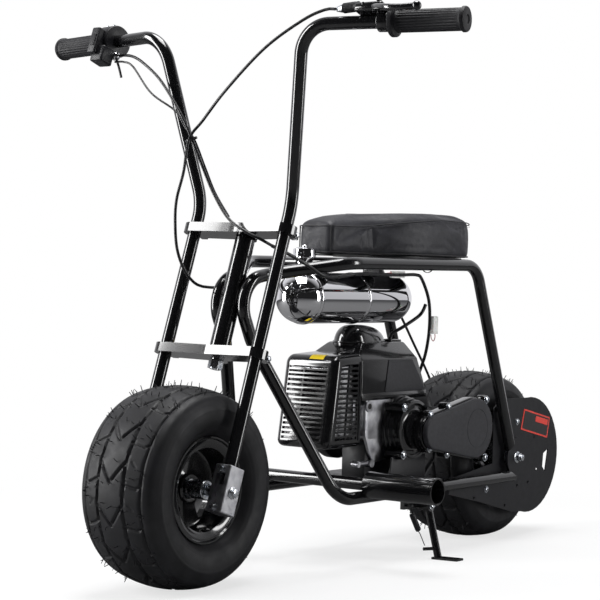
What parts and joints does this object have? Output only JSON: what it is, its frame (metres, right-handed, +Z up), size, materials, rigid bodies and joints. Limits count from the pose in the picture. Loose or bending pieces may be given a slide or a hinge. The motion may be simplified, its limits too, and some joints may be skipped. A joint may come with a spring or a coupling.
{
  "type": "minibike",
  "caption": "Small low minibike: twin-loop tube frame, wide balloon tyres, one-piece fork and handlebar tubes, chrome bottle tank, two-stroke engine with chain drive, side stand.",
  "frame": {"origin": "on the floor under the middle of the parked minibike's bounding box", "axes": "+Z up, -Y towards the front wheel, +X towards the bike's left side, where the side stand is"},
  "size_m": [0.8698, 1.2458, 0.9526],
  "materials": {
    "cable_black": "black cable sheath",
    "cast_silver": "sand-cast silver",
    "chrome": "polished chrome",
    "gloss_black": "gloss black powder coat",
    "grip_rubber": "ribbed black rubber",
    "matte_black": "matte black paint",
    "rubber": "black tyre rubber",
    "satin_black": "satin black paint",
    "vinyl": "charcoal vinyl",
    "white_plastic": "white nylon",
    "zinc": "zinc-plated steel"
  },
  "bodies": {
    "frame": {"left_upper_loop": "gloss_black", "left_lower_loop": "gloss_black", "left_dropout": "satin_black", "right_upper_loop": "gloss_black", "right_lower_loop": "gloss_black", "right_dropout": "satin_black", "head_tube": "gloss_black", "front_bridge": "gloss_black", "middle_bridge": "gloss_black", "rear_bridge": "gloss_black", "foot_peg_bar": "gloss_black", "seat_cushion": "vinyl", "seat_pan": "satin_black", "fuel_tank": "chrome", "tank_cap": "chrome", "engine_block": "cast_silver", "muffler_guard": "gloss_black", "muffler": "cast_silver", "cylinder_cowl": "gloss_black", "clutch_housing": "gloss_black", "gear_case": "gloss_black", "gear_cover": "matte_black", "recoil_starter": "satin_black", "air_box": "satin_black", "engine_mount": "satin_black", "drive_chain": "zinc", "chain_guard": "satin_black", "rear_axle": "zinc", "brake_caliper": "satin_black", "stand_bracket": "gloss_black", "stand_spring": "satin_black", "brake_cable_lower": "cable_black", "throttle_cable_lower": "cable_black", "ignition_lead": "cable_black", "lead_connector": "white_plastic", "rail_connector": "white_plastic"},
    "fork": {"left_fork_tube": "gloss_black", "right_fork_tube": "gloss_black", "left_grip": "grip_rubber", "right_grip": "grip_rubber", "left_axle_bracket": "cast_silver", "right_axle_bracket": "cast_silver", "lower_clamp": "gloss_black", "upper_clamp": "gloss_black", "steering_stem": "zinc", "front_axle": "zinc", "throttle_housing": "matte_black", "brake_lever": "gloss_black", "brake_cable_upper": "cable_black", "throttle_cable_upper": "cable_black", "switch_wire_upper": "cable_black"},
    "front_wheel": {"front_tyre": "rubber", "front_rim": "satin_black"},
    "rear_wheel": {"rear_tyre": "rubber", "rear_rim": "satin_black", "rear_sprocket": "zinc", "brake_disc": "zinc"},
    "side_stand": {"stand_leg": "gloss_black"}
  },
  "joints": [
    {"name": "steering", "type": "hinge", "parent": "frame", "child": "fork", "pos_m": [-0.02312, -0.43943, 0.15797], "axis": [0.0289, 0.3223, 0.9462], "range_deg": [-40, 40], "deforming": ["brake_cable_upper", "throttle_cable_upper", "switch_wire_upper", "brake_cable_lower", "throttle_cable_lower"]},
    {"name": "front_wheel_spin", "type": "hinge", "parent": "fork", "child": "front_wheel", "pos_m": [-0.02292, -0.45836, 0.16442], "axis": [0.9995, 0, -0.0305], "continuous": true},
    {"name": "rear_wheel_spin", "type": "hinge", "parent": "frame", "child": "rear_wheel", "pos_m": [-0.02292, 0.43264, 0.16442], "axis": [0.9995, 0, -0.0305], "continuous": true},
    {"name": "side_stand_fold", "type": "hinge", "parent": "frame", "child": "side_stand", "pos_m": [0.10499, 0.09014, 0.09398], "axis": [0.9734, 0, 0.2292], "range_deg": [0, 85], "deforming": ["stand_spring"]}
  ]
}
